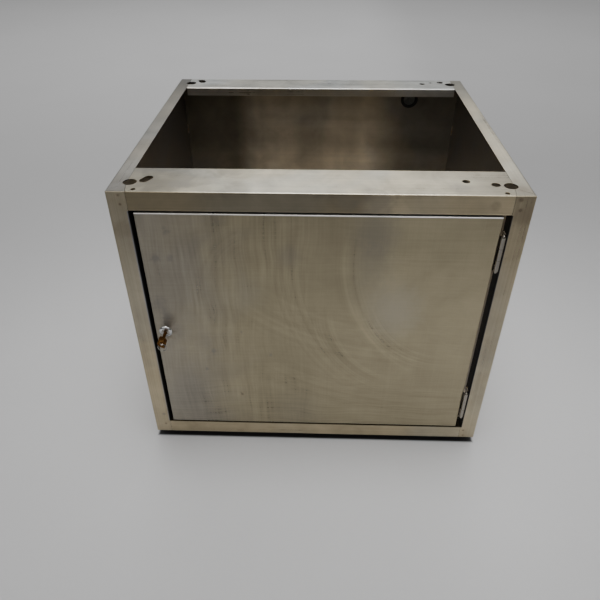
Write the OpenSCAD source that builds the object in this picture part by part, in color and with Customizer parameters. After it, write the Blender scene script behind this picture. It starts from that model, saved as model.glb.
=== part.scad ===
// Sheet-metal base cabinet with an open top, one hinged door, a key lock and levelling feet.
// Millimetres. +X is the cabinet's right, +Y its back, +Z up, and the floor is z = 0.

/* [Cabinet body] */
// Outside width
cab_w = 600; // [560:5:700]
// Outside depth, from the front face to the back
cab_d = 550; // [500:5:650]
// Height of the sheet-metal body
cab_h = 500; // [470:5:650]
// Clear height under the body
floor_gap = 12; // [10:1:20]
// Thickness of every sheet
sheet = 1.5; // [1.2:0.1:2]
// Outside radius of the bends
bend_r = 2.5; // [2:0.1:3]
// Width of the open seams between folded parts
seam = 0.4; // [0.3:0.1:0.6]

/* [Frame around the openings] */
// Width of each front post's face
post_w = 28.5; // [28:0.5:32]
// Width of the side panels' top flanges
top_flange_w = 23.2; // [22:0.1:26]
// Height of the top rails' faces
top_rail_h = 31; // [28:0.5:36]
// Height of the bottom rails' faces
bottom_rail_h = 28.5; // [28:0.5:34]
// Depth of the front top rail
front_rail_d = 82; // [76:1:100]
// Depth of the rear top rail
rear_rail_d = 62.5; // [60:0.5:80]
// Depth of the bottom rails
bottom_rail_d = 25; // [24:1:32]
// Height of the lip along the inner edge of each top rail
rail_lip_h = 16; // [10:1:20]
// Depth of the folded returns behind the front frame
jamb_d = 20; // [20:0.5:24]
// Height of the rear top rail's back face
rear_face_h = 20; // [16:0.5:21]
// Width of the door stop behind the latch side
stop_w = 12; // [10:0.5:13]

/* [Door] */
// Gap between the door and the latch post
door_gap_latch = 6; // [4:0.5:7]
// Gap between the door and the hinge post
door_gap_hinge = 9.5; // [9:0.1:10.5]
// Gap above the door
door_gap_top = 2.5; // [1.5:0.1:4]
// Gap below the door
door_gap_bottom = 2; // [1.5:0.1:4]
// Depth of the door's folded edges
door_t = 18; // [16:0.5:18]
// How far the door opens, in degrees
door_swing = 180; // [90:5:180]

/* [Hinges] */
// Height of the lock and the middle of the hinge pair above the body's lower edge
lock_z = 247; // [235:1:320]
// Distance of each hinge's middle from that height
hinge_offset = 159; // [140:1:160]
// Length of a hinge's knuckles together
hinge_len = 58; // [50:1:62]
// Thickness of a hinge leaf
leaf_t = 1.5; // [1.3:0.1:1.6]
// Diameter of a hinge pin
pin_dia = 3.5; // [3:0.1:3.6]
// How far the hinge line stands in front of the front face
hinge_proud = 1; // [0.8:0.1:2]

/* [Lock and key] */
// Distance of the lock from the cabinet's centre line
lock_x = 249; // [245:0.5:250]
// Diameter of the lock's head
lock_head_dia = 22; // [20:0.5:24]
// How far the lock's head stands out
lock_head_t = 2.5; // [2:0.1:4]
// How far the key is turned down from the horizontal, in degrees
key_turn = 38; // [0:1:45]
// Distance of the key's tip from the front face
key_reach = 38; // [36:1:44]
// Width of the key's bow
bow_w = 14; // [12:0.5:16]
// Length of the key's bow
bow_len = 22; // [20:1:24]
// Outside diameter of the key ring
ring_dia = 15; // [14:0.5:16]

/* [Top holes] */
// Diameter of the four corner holes
corner_hole_dia = 20; // [16:0.5:21]
// Distance of the corner holes from the centre line
corner_hole_x = 272; // [270:0.5:274]
// Distance of the corner holes from the front and back faces
corner_hole_y = 31; // [26:0.5:34]
// Width of the two left slots
slot_w = 13.5; // [10:0.5:14]
// Length of the two left slots
slot_len = 23.5; // [20:0.5:26]
// Diameter of the two front locating holes
locating_hole_dia = 7; // [5:0.5:8]

/* [Cable grommet] */
// Outside diameter
grommet_dia = 36.5; // [34:0.5:40]
// Diameter of its hole
grommet_hole_dia = 24.3; // [20:0.1:26]
// Distance from the centre line
grommet_x = 195; // [150:1:230]
// Height above the body's lower edge
grommet_z = 460.5; // [440:0.5:462]

/* [Levelling feet] */
// Diameter of a foot's pad
pad_dia = 40; // [30:1:44]
// Diameter of a foot's stud
stud_dia = 10; // [8:1:12]
// Distance of the feet from the centre line
foot_x = 262; // [255:1:264]
// Distance of the feet from the front and back faces
foot_y = 50; // [46:1:60]

/* [Hidden] */
$fn = 64;

// Overshoot of cutting shapes
eps = 1;
// Play between parts that turn or slide in each other, on the radius
running = 0.05;
// Play between parts that don't, and around the key
loose = 0.3;
// Play of a part pressed or screwed into a bore, on the radius
snug = 0.02;

// The front face lies so that the origin is below the middle of the whole object, key and all
front_y = -(cab_d - key_reach) / 2;
top_z = floor_gap + cab_h;

// Inner edges of the posts and of the top flanges, from the centre line
post_in = cab_w / 2 - post_w;
flange_in = cab_w / 2 - top_flange_w;
wall_in = cab_w / 2 - sheet;

// Back panel, set inside the side panels' rear returns
back_gap = 0.2;
back_front = cab_d - 2 * sheet - back_gap;
floor_front = jamb_d + 2 * sheet;

// Door outline, from the centre line and the body's lower edge
door_left = -post_in + door_gap_latch;
door_right = post_in - door_gap_hinge;
door_w = door_right - door_left;
door_low = bottom_rail_h + door_gap_bottom;
door_h = cab_h - top_rail_h - door_gap_top - door_low;

// Hinge line and knuckles
hinge_x = (door_right + post_in) / 2;
knuckle_r = door_gap_hinge / 2 - leaf_t;
knuckle_gap = 0.35;
knuckle_len = (hinge_len - 2 * knuckle_gap) / 3;
web_y = knuckle_r - leaf_t;
pin_tip_r = 2.4;
pin_tip_rise = 1.2;

// Lock, measured back from the front face
barrel_r = 9;
plug_r = 6.5;
barrel_end = 22;
cam_front = 23.5;
cam_t = 2;
cam_len = 30;
cam_r = 7;
shank_w = 7;
shank_end = cam_front + cam_t;
screw_r = 2;
screw_head_r = 5;
screw_head_t = 2.2;
screw_depth = 5;
nut_t = 5;
nut_r = 12.5;

// Key, measured back from the front face
blade_w = 7;
blade_t = 1.8;
blade_end = 19;
neck_w = 5;
key_t = 2;
bow_corner_r = 4;
bow_hole_r = 2.8;
bow_hole_edge = 4.6;
ring_wire_r = 0.6;
ring_lean = 8;
ring_rise = 0.7;

// Rubber stops behind the door's latch edge
bumper_r = 4.5;
bumper_x = -post_in + stop_w / 2 + 0.5;
bumper_offset = 120;

// Feet
pad_rim_h = 3;
pad_h = 8;
pad_boss_r = 9;
stud_low = 4;
stud_top = floor_gap + 26;
plate_w = 60;
plate_d = 56;
plate_t = 3;
weld_nut_r = 9.8;
weld_nut_h = 8;

// Groove of the corner tab that closes each front post at the top
tab_groove = 0.5;
tab_outer_y = 4;
tab_inner_x = 279.5;
tab_inner_y = 20;

steel = [0.62, 0.60, 0.55];
bright_steel = [0.74, 0.74, 0.73];
chrome = [0.85, 0.86, 0.88];
brass = [0.42, 0.30, 0.14];
black = [0.07, 0.07, 0.07];

// ---- Placing ----

// Moves children to a point given from the centre line, back from the front face and up from
// the body's lower edge
module at(x, depth, up) translate([x, front_y + depth, floor_gap + up]) children();

// A box given by its limits in the same terms
module box(x, depth, up) at(x[0], depth[0], up[0]) cube([x[1] - x[0], depth[1] - depth[0], up[1] - up[0]]);

// A cylinder that runs back from the given depth
module rod(r, from, to) translate([0, from, 0]) rotate([-90, 0, 0]) cylinder(r = r, h = to - from);

// ---- Sheet metal ----

module soft_rect(w, h, r) {
    square([w - 2 * r, h], center = true);
    square([w, h - 2 * r], center = true);
    for (x = [-1, 1], y = [-1, 1]) translate([x * (w / 2 - r), y * (h / 2 - r)]) circle(r);
}

// Block with bend radii on its edges: centred across, and from 0 back and up
module soft_block(w, d, h) {
    translate([0, d / 2, h / 2]) intersection() {
        linear_extrude(h, center = true) soft_rect(w, d, bend_r);
        rotate([90, 0, 0]) linear_extrude(d, center = true) soft_rect(w, h, bend_r);
        rotate([90, 0, 90]) linear_extrude(w, center = true) soft_rect(d, h, bend_r);
    }
}

// The whole body as one closed skin, which the parts of the body are cut from
module skin() {
    difference() {
        at(0, 0, 0) soft_block(cab_w, cab_d, cab_h);
        box([-wall_in, wall_in], [sheet, cab_d - sheet], [sheet, cab_h - sheet]);
    }
}

// Plan of the strip outside the left seam: the seam slants across the front corner hole
module left_of_seam() {
    polygon([[-cab_w, -eps], [-post_in, -eps], [-post_in, 0], [-flange_in, corner_hole_y],
        [-flange_in, cab_d + eps], [-cab_w, cab_d + eps]]);
}

// Plan of the strip between the seams, between two depths
module between_seams(from, to) {
    difference() {
        translate([-cab_w / 2, from]) square([cab_w, to - from]);
        for (side = [0, 1]) mirror([side, 0]) translate([seam, 0]) left_of_seam();
    }
}

// What a bend's radius takes off a square outside edge at the origin, in section. The signs in
// toward say which way the metal lies.
module bend_waste(toward) {
    difference() {
        translate([for (sign = toward) sign > 0 ? -eps : -bend_r]) square(bend_r + eps);
        translate(toward * bend_r) circle(bend_r);
    }
}

// The same along an edge that runs across the cabinet, and along one that runs up from a height
module bend_across(depth, up, toward)
    at(-cab_w / 2, depth, up) rotate([90, 0, 90]) linear_extrude(cab_w) bend_waste(toward);

module bend_upright(x, depth, up, toward)
    at(x, depth, up[0]) linear_extrude(up[1] - up[0]) bend_waste(toward);

// Side wall with its post, flanges and returns, for the left side
module side_shell() {
    groove_run = cab_w / 2 - tab_inner_x;
    groove_rise = tab_inner_y - tab_outer_y;
    difference() {
        union() {
            intersection() {
                skin();
                at(0, 0, 0) linear_extrude(cab_h) left_of_seam();
            }
            box([-post_in - sheet, -post_in], [sheet, jamb_d + sheet],
                [sheet + loose, cab_h - sheet - loose]);
        }
        at(-cab_w / 2, tab_outer_y, cab_h - tab_groove) rotate([0, 0, atan2(groove_rise, groove_run)])
            cube([norm([groove_run, groove_rise]), tab_groove, tab_groove + eps]);
        corner_holes();
        bend_upright(-post_in, 0, [bottom_rail_h, cab_h - top_rail_h], [-1, 1]);
    }
}

module corner_holes() {
    for (x = [-1, 1], depth = [corner_hole_y, cab_d - corner_hole_y])
        at(x * corner_hole_x, depth, cab_h - sheet - eps) cylinder(d = corner_hole_dia, h = sheet + 2 * eps);
}

module side_panel_left() color(steel) {
    side_shell();
    box([-post_in - sheet, -post_in + stop_w], [jamb_d, jamb_d + sheet],
        [bottom_rail_h + loose, cab_h - top_rail_h - loose]);
}

module side_panel_right() color(steel) mirror([1, 0, 0]) side_shell();

module back_panel() color(steel) {
    difference() {
        box([-wall_in + loose, wall_in - loose], [back_front, back_front + sheet],
            [sheet + loose, cab_h - sheet - loose]);
        at(grommet_x, 0, grommet_z) rod(grommet_neck_r + snug, back_front - eps, cab_d);
    }
}

// Floor with a folded lip down each side
module floor_panel() color(steel) {
    half_w = wall_in - loose;
    box([-half_w, half_w], [floor_front, back_front - loose], [bottom_rail_h, bottom_rail_h + sheet]);
    for (side = [0, 1]) mirror([side, 0, 0])
        box([-half_w, -half_w + sheet], [floor_front, back_front - loose],
            [bottom_rail_h / 2, bottom_rail_h]);
}

// The part of the skin that a cross rail takes, between two depths and two heights
module rail_shell(depth, up) {
    intersection() {
        skin();
        at(0, 0, up[0]) linear_extrude(up[1] - up[0]) between_seams(depth[0], depth[1]);
    }
}

// Return folded back from a front rail's face, with its lower side at the given height
module rail_return(up) {
    half_w = post_in - seam;
    box([-half_w, half_w], [sheet / 2, jamb_d], [up, up + sheet]);
}

module rail_lip(depth) {
    half_w = flange_in - seam;
    box([-half_w, half_w], [depth, depth + sheet], [cab_h - rail_lip_h, cab_h - sheet / 2]);
}

module top_hole(x, depth, dia) {
    at(x, depth, cab_h - sheet - eps) cylinder(d = dia, h = sheet + 2 * eps);
}

// Slot through the top, turned from the sideways direction
module top_slot(x, depth, turn) {
    half = (slot_len - slot_w) / 2;
    at(x, depth, cab_h - sheet - eps) rotate([0, 0, turn]) {
        for (end = [-half, half]) translate([end, 0, 0]) cylinder(d = slot_w, h = sheet + 2 * eps);
        translate([-half, -slot_w / 2, 0]) cube([2 * half, slot_w, sheet + 2 * eps]);
    }
}

module front_top_rail() color(steel) {
    difference() {
        union() {
            rail_shell([-eps, front_rail_d], [cab_h - top_rail_h, cab_h + eps]);
            rail_return(cab_h - top_rail_h);
            rail_lip(front_rail_d - sheet);
        }
        corner_holes();
        top_slot(-250.5, 41.5, 62);
        top_hole(251.5, 34.5, 13);
        top_hole(211.5, 44.5, 11.5);
        for (x = [-261, 261]) top_hole(x, 7.5, locating_hole_dia);
        bend_across(0, cab_h - top_rail_h, [1, 1]);
        bend_across(front_rail_d, cab_h, [-1, -1]);
    }
}

module rear_top_rail() color(steel) {
    difference() {
        union() {
            rail_shell([cab_d - rear_rail_d, cab_d + eps], [cab_h - rear_face_h, cab_h + eps]);
            rail_lip(cab_d - rear_rail_d);
        }
        corner_holes();
        top_slot(-252, 533, -65);
        top_hole(253.5, 534, 13);
        top_hole(214.5, 522.5, 11.5);
        top_hole(232.5, 531, 5.5);
        bend_across(cab_d - rear_rail_d, cab_h, [1, -1]);
    }
}

module front_bottom_rail() color(steel) {
    difference() {
        union() {
            rail_shell([-eps, bottom_rail_d], [-eps, bottom_rail_h]);
            rail_return(bottom_rail_h - sheet);
        }
        bend_across(0, bottom_rail_h, [1, -1]);
    }
}

module rear_bottom_rail() color(steel)
    rail_shell([cab_d - bottom_rail_d, cab_d + eps], [-eps, bottom_rail_h]);

// ---- Cable grommet and door stops ----

grommet_lip_r = 1.1;
grommet_neck_r = 15.6;
grommet_rear_t = 1.6;

module cable_grommet() color(black) {
    hole_r = grommet_hole_dia / 2;
    rim_r = grommet_dia / 2;
    front_t = 2 * grommet_lip_r;
    at(grommet_x, back_front, grommet_z) rotate([-90, 0, 0]) rotate_extrude() {
        translate([hole_r, -front_t / 2]) square([rim_r - hole_r - grommet_lip_r, front_t / 2]);
        translate([hole_r + grommet_lip_r, -front_t]) square([rim_r - hole_r - 2 * grommet_lip_r, front_t]);
        for (r = [hole_r + grommet_lip_r, rim_r - grommet_lip_r])
            translate([r, -grommet_lip_r]) circle(grommet_lip_r, $fn = 32);
        translate([hole_r, -grommet_lip_r]) square([grommet_neck_r - hole_r, sheet + grommet_lip_r]);
        translate([hole_r, sheet]) square([rim_r - hole_r, grommet_rear_t]);
    }
}

module door_bumpers() color(black) {
    for (z = [lock_z - bumper_offset, lock_z + bumper_offset])
        at(bumper_x, 0, z) rod(bumper_r, door_t + loose, jamb_d);
}

// ---- Hinges: three knuckles, the middle one on the door ----

// One knuckle with the web that carries it sideways to its leaf, for the frame side
module knuckle(up, bore_r) {
    at(hinge_x, -hinge_proud, up) difference() {
        union() {
            cylinder(r = knuckle_r, h = knuckle_len);
            translate([0, web_y, 0]) cube([door_gap_hinge / 2, leaf_t, knuckle_len]);
        }
        translate([0, 0, -eps]) cylinder(r = bore_r, h = knuckle_len + 2 * eps);
    }
}

module hinge_frame_leaf(mid) color(bright_steel) {
    low = mid - hinge_len / 2;
    for (z = [low, low + 2 * (knuckle_len + knuckle_gap)]) knuckle(z, pin_dia / 2 + snug);
    box([post_in - leaf_t, post_in], [web_y - hinge_proud, jamb_d - eps], [low, low + hinge_len]);
}

module hinge_door_leaf(mid) color(bright_steel) {
    low = mid - hinge_len / 2;
    translate([2 * hinge_x, 0, 0]) mirror([1, 0, 0]) {
        knuckle(low + knuckle_len + knuckle_gap, pin_dia / 2 + running);
        box([post_in - leaf_t, post_in], [web_y - hinge_proud, door_t - eps], [low, low + hinge_len]);
    }
}

module hinge_pin(mid) color(bright_steel) {
    at(hinge_x, -hinge_proud, mid) {
        cylinder(d = pin_dia, h = hinge_len + 2 * pin_tip_rise, center = true);
        for (end = [-1, 1]) translate([0, 0, end * (hinge_len / 2 + pin_tip_rise)])
            intersection() {
                sphere(pin_tip_r);
                translate([0, 0, end * (pin_tip_r - pin_tip_rise + snug)])
                    cube(2 * pin_tip_r, center = true);
            }
    }
}

module hinge_frame_leaf_upper() hinge_frame_leaf(lock_z + hinge_offset);
module hinge_frame_leaf_lower() hinge_frame_leaf(lock_z - hinge_offset);
module hinge_door_leaf_upper() hinge_door_leaf(lock_z + hinge_offset);
module hinge_door_leaf_lower() hinge_door_leaf(lock_z - hinge_offset);
module hinge_pin_upper() hinge_pin(lock_z + hinge_offset);
module hinge_pin_lower() hinge_pin(lock_z - hinge_offset);

// ---- Door ----

// Pan with four folded edges, open at the back
module door_panel() color(steel) {
    difference() {
        at((door_left + door_right) / 2, 0, door_low) soft_block(door_w, door_t + bend_r, door_h);
        box([door_left - eps, door_right + eps], [door_t, door_t + 2 * bend_r],
            [door_low - eps, door_low + door_h + eps]);
        box([door_left + sheet, door_right - sheet], [sheet, door_t + eps],
            [door_low + sheet, door_low + door_h - sheet]);
        at(-lock_x, 0, lock_z) rod(barrel_r + snug, -eps, sheet + eps);
    }
}

// ---- Lock and key ----

// Places children at the lock's centre, turned as the key is
module at_lock(turn) at(-lock_x, 0, lock_z) rotate([0, turn, 0]) children();

module lock_housing() color(chrome) {
    head_r = lock_head_dia / 2;
    at_lock(0) difference() {
        union() {
            rotate([90, 0, 0]) rotate_extrude() {
                square([head_r, lock_head_t / 2]);
                square([head_r - lock_head_t / 2, lock_head_t]);
                translate([head_r - lock_head_t / 2, lock_head_t / 2]) circle(lock_head_t / 2);
            }
            rod(barrel_r, 0, barrel_end);
        }
        rod(plug_r + running, -lock_head_t - eps, barrel_end + eps);
    }
}

module lock_nut() color(chrome) {
    at_lock(0) difference() {
        translate([0, sheet, 0]) rotate([-90, 0, 0]) cylinder(r = nut_r, h = nut_t, $fn = 6);
        rod(barrel_r + snug, 0, sheet + nut_t + eps);
    }
}

module lock_plug() color(bright_steel) {
    keyway_w = blade_w + 2 * loose;
    keyway_t = blade_t + 2 * loose;
    keyway_end = blade_end + loose;
    face = -lock_head_t + loose;
    at_lock(key_turn) difference() {
        union() {
            rod(plug_r, face, barrel_end + loose);
            translate([-shank_w / 2, barrel_end, -shank_w / 2])
                cube([shank_w, shank_end - barrel_end, shank_w]);
        }
        translate([-keyway_w / 2, face - eps, -keyway_t / 2])
            cube([keyway_w, keyway_end - face + eps, keyway_t]);
        rod(screw_r + snug, shank_end - screw_depth, shank_end + eps);
    }
}

module lock_cam() color(bright_steel) {
    hole_w = shank_w + 2 * snug;
    at_lock(0) translate([0, cam_front, 0]) rotate([-90, 0, 0]) difference() {
        linear_extrude(cam_t) {
            circle(cam_r);
            translate([-cam_r, 0]) square([2 * cam_r, cam_len]);
            translate([0, cam_len]) circle(cam_r);
        }
        rotate([0, 0, key_turn]) translate([-hole_w / 2, -hole_w / 2, -eps])
            cube([hole_w, hole_w, cam_t + 2 * eps]);
    }
}

module cam_screw() color(bright_steel) {
    at_lock(0) {
        rod(screw_r, shank_end - screw_depth + loose, shank_end + screw_head_t);
        rod(screw_head_r, shank_end, shank_end + screw_head_t);
    }
}

// Key with its blade in the plug: flat, its bow's end at key_reach in front of the door
module key() color(brass) {
    shoulder = -lock_head_t;
    at_lock(key_turn) {
        translate([-blade_w / 2, shoulder - snug, -blade_t / 2])
            cube([blade_w, blade_end - shoulder, blade_t]);
        translate([0, 0, -key_t / 2]) linear_extrude(key_t) difference() {
            union() {
                translate([-neck_w / 2, -key_reach + bow_corner_r])
                    square([neck_w, key_reach - bow_corner_r + shoulder]);
                translate([0, -key_reach + bow_len / 2]) soft_rect(bow_w, bow_len, bow_corner_r);
            }
            translate([0, -key_reach + bow_hole_edge]) circle(bow_hole_r);
        }
    }
}

// Wire ring through the bow's hole, hanging across the key
module key_ring() color(bright_steel) {
    hang_r = ring_dia / 2 - ring_wire_r;
    at_lock(0) translate([0, -key_reach + bow_hole_edge, ring_rise]) rotate([0, -ring_lean, 0])
        translate([0, 0, -hang_r]) rotate([90, 0, 0])
        rotate_extrude() translate([hang_r, 0]) circle(ring_wire_r, $fn = 24);
}

// ---- Levelling feet ----

// Places children at each foot, given the side (-1 left, 1 right) and the end (0 front, 1 rear)
module at_foot(side, end)
    translate([side * foot_x, front_y + (end == 0 ? foot_y : cab_d - foot_y), 0]) children();

module foot_plates() color(steel) {
    for (side = [-1, 1], end = [0, 1]) difference() {
        translate([0, 0, floor_gap + sheet]) at_foot(side, end)
            translate([-plate_w / 2 + side * (wall_in - loose - foot_x - plate_w / 2), -plate_d / 2, 0])
            cube([plate_w, plate_d, plate_t]);
        at_foot(side, end) cylinder(d = stud_dia + 2 * loose, h = stud_top);
    }
}

module foot_nuts() color(bright_steel) {
    for (side = [-1, 1], end = [0, 1]) at_foot(side, end) difference() {
        translate([0, 0, floor_gap + sheet + plate_t]) cylinder(r = weld_nut_r, h = weld_nut_h, $fn = 6);
        cylinder(d = stud_dia + 2 * running, h = stud_top);
    }
}

module foot_pad(side, end) color(black) {
    at_foot(side, end) difference() {
        union() {
            cylinder(d = pad_dia, h = pad_rim_h);
            translate([0, 0, pad_rim_h])
                cylinder(r1 = pad_dia / 2 - eps, r2 = pad_boss_r, h = pad_h - pad_rim_h - eps);
            cylinder(r = pad_boss_r, h = pad_h);
        }
        translate([0, 0, stud_low - snug]) cylinder(d = stud_dia + 2 * snug, h = pad_h);
    }
}

module foot_stud(side, end) color(bright_steel) {
    at_foot(side, end) translate([0, 0, stud_low]) cylinder(d = stud_dia, h = stud_top - stud_low);
}

side_panel_left();
side_panel_right();
back_panel();
floor_panel();
front_top_rail();
rear_top_rail();
front_bottom_rail();
rear_bottom_rail();
foot_plates();
foot_nuts();
cable_grommet();
door_bumpers();
hinge_frame_leaf_upper();
hinge_frame_leaf_lower();
hinge_pin_upper();
hinge_pin_lower();
door_panel();
hinge_door_leaf_upper();
hinge_door_leaf_lower();
lock_housing();
lock_nut();
lock_plug();
lock_cam();
cam_screw();
key();
key_ring();
foot_pad(-1, 0);  // foot_pad_front_left
foot_stud(-1, 0);  // foot_stud_front_left
foot_pad(1, 0);  // foot_pad_front_right
foot_stud(1, 0);  // foot_stud_front_right
foot_pad(-1, 1);  // foot_pad_rear_left
foot_stud(-1, 1);  // foot_stud_rear_left
foot_pad(1, 1);  // foot_pad_rear_right
foot_stud(1, 1);  // foot_stud_rear_right
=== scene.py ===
"""Brushed stainless steel base cabinet: looks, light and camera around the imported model."""

import math

import bmesh
import bpy
from mathutils import Matrix, Vector


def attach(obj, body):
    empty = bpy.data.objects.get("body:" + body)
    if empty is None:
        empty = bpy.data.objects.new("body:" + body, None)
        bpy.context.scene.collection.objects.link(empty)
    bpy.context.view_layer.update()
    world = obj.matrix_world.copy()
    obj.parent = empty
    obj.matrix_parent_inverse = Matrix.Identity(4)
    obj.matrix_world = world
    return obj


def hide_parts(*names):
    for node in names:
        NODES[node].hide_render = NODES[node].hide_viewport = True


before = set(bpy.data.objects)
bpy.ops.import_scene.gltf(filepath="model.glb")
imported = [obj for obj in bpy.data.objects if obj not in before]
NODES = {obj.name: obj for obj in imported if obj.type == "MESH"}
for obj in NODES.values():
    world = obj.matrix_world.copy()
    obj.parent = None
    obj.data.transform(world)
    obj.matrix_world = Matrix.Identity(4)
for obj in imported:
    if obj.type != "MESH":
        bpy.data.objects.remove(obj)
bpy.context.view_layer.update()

MM = 0.001
TAU = 2 * math.pi

# Where the cabinet stands in the row frame, in metres
FRONT_Y = -0.256
BACK_Y = 0.294
BODY_LOW = 0.012
HALF_W = 0.3
# The door's top edge, the lock's height and the hinge pins' line
DOOR_TOP = 0.4785
LOCK_Z = BODY_LOW + 0.247
HINGE_Y = FRONT_Y - 0.001


def spot_at(x, depth, up):
    """A point from the centre line, back from the front face and up from the body's edge, in mm."""
    return Vector((x * MM, FRONT_Y + depth * MM, BODY_LOW + up * MM))


# ---- Node graphs ----


class Graph:
    """A material's node tree, with short calls for the nodes that this scene uses."""

    def __init__(self, name):
        self.material = bpy.data.materials.new(name)
        self.material.use_nodes = True
        self.tree = self.material.node_tree
        self.tree.nodes.clear()
        self.point = self.new("ShaderNodeTexCoord").outputs["Object"]
        self.normal = self.new("ShaderNodeNewGeometry").outputs["Normal"]

    def new(self, kind, **settings):
        node = self.tree.nodes.new(kind)
        for key, value in settings.items():
            setattr(node, key, value)
        return node

    def put(self, socket, value):
        """Links value if it is a socket, and stores it if it is a number or a colour."""
        if isinstance(value, bpy.types.NodeSocket):
            self.tree.links.new(value, socket)
        elif value is not None:
            socket.default_value = value

    def math(self, operation, a, b=None, clamp=False):
        node = self.new("ShaderNodeMath", operation=operation, use_clamp=clamp)
        self.put(node.inputs[0], a)
        self.put(node.inputs[1], b)
        return node.outputs[0]

    def add(self, *values):
        total = values[0]
        for value in values[1:]:
            total = self.math("ADD", total, value)
        return total

    def times(self, *values):
        total = values[0]
        for value in values[1:]:
            total = self.math("MULTIPLY", total, value)
        return total

    def rest(self, value):
        """One less this value."""
        return self.math("SUBTRACT", 1.0, value)

    def vector(self, operation, a, b=None):
        node = self.new("ShaderNodeVectorMath", operation=operation)
        self.put(node.inputs[0], a)
        self.put(node.inputs[1], b)
        return node.outputs["Value"] if operation in ("DISTANCE", "LENGTH") else node.outputs[0]

    def split(self, vector):
        node = self.new("ShaderNodeSeparateXYZ")
        self.put(node.inputs[0], vector)
        return node.outputs

    def join(self, x, y, z):
        node = self.new("ShaderNodeCombineXYZ")
        for socket, value in zip(node.inputs, (x, y, z)):
            self.put(socket, value)
        return node.outputs[0]

    def noise(self, point, scale=1.0, detail=2.0, roughness=0.5, distortion=0.0):
        node = self.new("ShaderNodeTexNoise")
        self.put(node.inputs["Vector"], point)
        node.inputs["Scale"].default_value = scale
        node.inputs["Detail"].default_value = detail
        node.inputs["Roughness"].default_value = roughness
        node.inputs["Distortion"].default_value = distortion
        return node.outputs["Fac"]

    def swing(self, *settings):
        """Noise about zero, from about -0.5 to 0.5."""
        return self.math("SUBTRACT", self.noise(*settings), 0.5)

    def wave(self, point, scale, detail=2.0):
        """Noise about zero at this many cells a metre on each axis."""
        return self.swing(self.vector("MULTIPLY", point, scale), 1.0, detail)

    def wave_at(self, x, y, z, detail=2.0):
        """Noise about zero at coordinates that are scaled already."""
        return self.wave(self.join(x, y, z), (1, 1, 1), detail)

    def spread_from(self, dx, dz):
        """Distance in the plane of the door."""
        return self.math("SQRT", self.add(self.times(dx, dx), self.times(dz, dz)))

    def step(self, value, low, high, bottom=0.0, top=1.0):
        """Smooth step of value from bottom at low to top at high."""
        node = self.new("ShaderNodeMapRange", interpolation_type="SMOOTHSTEP")
        self.put(node.inputs["Value"], value)
        node.inputs["From Min"].default_value = low
        node.inputs["From Max"].default_value = high
        node.inputs["To Min"].default_value = bottom
        node.inputs["To Max"].default_value = top
        return node.outputs[0]

    def mix(self, factor, a, b, blend="MIX"):
        node = self.new("ShaderNodeMix", data_type="RGBA", blend_type=blend)
        self.put(node.inputs[0], factor)
        self.put(node.inputs[6], a)
        self.put(node.inputs[7], b)
        return node.outputs[2]

    def scale_colour(self, colour, factor):
        node = self.new("ShaderNodeVectorMath", operation="SCALE")
        self.put(node.inputs[0], colour[:3] if isinstance(colour, tuple) else colour)
        self.put(node.inputs["Scale"], factor)
        return node.outputs[0]

    def facing(self, axis):
        """How squarely the surface faces along this axis, from 0 to 1."""
        return self.math("ABSOLUTE", self.split(self.normal)[axis])

    def bump(self, height, distance, normal=None):
        node = self.new("ShaderNodeBump")
        node.inputs["Strength"].default_value = 1.0
        node.inputs["Distance"].default_value = distance
        self.put(node.inputs["Height"], height)
        self.put(node.inputs["Normal"], normal)
        return node.outputs[0]

    def soft_edges(self, radius):
        node = self.new("ShaderNodeBevel", samples=4)
        node.inputs["Radius"].default_value = radius
        return node.outputs[0]

    def finish(self, colour, roughness, normal=None, **fixed):
        """Ends the graph in a Principled shader. fixed holds its other sockets by name."""
        shader = self.new("ShaderNodeBsdfPrincipled")
        self.put(shader.inputs["Base Color"], colour)
        self.put(shader.inputs["Roughness"], roughness)
        self.put(shader.inputs["Normal"], normal)
        for name, value in fixed.items():
            self.put(shader.inputs[name.replace("_", " ").title()], value)
        output = self.new("ShaderNodeOutputMaterial")
        self.tree.links.new(shader.outputs[0], output.inputs["Surface"])
        return self.material


def rgb(red, green, blue):
    return (red, green, blue, 1.0)


# ---- Stainless steel ----

X_AXIS, Y_AXIS, Z_AXIS = 0, 1, 2
ALONG = 3.0
GRAINS = (2600.0, 700.0, 160.0, 45.0)


def grain_scale(axis, across):
    """Noise cells a metre: long along the brushing and this many across it."""
    return tuple(ALONG if i == axis else across for i in range(3))


def brushing(g, axis):
    """(fine, coarse) streaks along an axis, each about zero."""
    fine = g.add(
        g.wave(g.point, grain_scale(axis, GRAINS[0]), 1.0),
        g.wave(g.point, grain_scale(axis, GRAINS[1]), 1.0),
    )
    coarse = g.add(
        g.wave(g.point, grain_scale(axis, GRAINS[2]), 2.0),
        g.wave(g.point, grain_scale(axis, GRAINS[3]), 2.0),
    )
    return fine, coarse


# How much light the faces inside the door's gap give back: a painted shadow for the shade that falls
# there
GAP_SHADE = 0.13


def gap_shade(g):
    """Painted shadow on the faces round the door's gap, behind the front of the posts and rails, and on
    the hinge post's bend.
    """
    x, y, z = g.split(g.point)
    hinge_post_bend = g.times(
        g.step(x, 0.2740, 0.2728),
        g.step(x, 0.0, 0.1),
        g.step(z, DOOR_TOP + 0.0032, DOOR_TOP + 0.0024),
        g.step(z, 0.0398, 0.0406),
    )
    behind_front = g.step(y, FRONT_Y + 0.0001, FRONT_Y + 0.0012)
    between_posts = g.step(g.math("ABSOLUTE", x), 0.277, 0.275)
    below_rail = g.step(z, DOOR_TOP + 0.008, DOOR_TOP + 0.006)
    near_front = g.step(y, FRONT_Y + 0.028, FRONT_Y + 0.022)
    painted_shadow = g.times(
        g.math("MAXIMUM", hinge_post_bend, behind_front),
        between_posts,
        below_rail,
        near_front,
        1.0 - GAP_SHADE,
    )
    return g.rest(painted_shadow)


# How far edges are rounded in the shading of sheet, in metres
SHEET_EDGE = 0.0004


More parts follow.
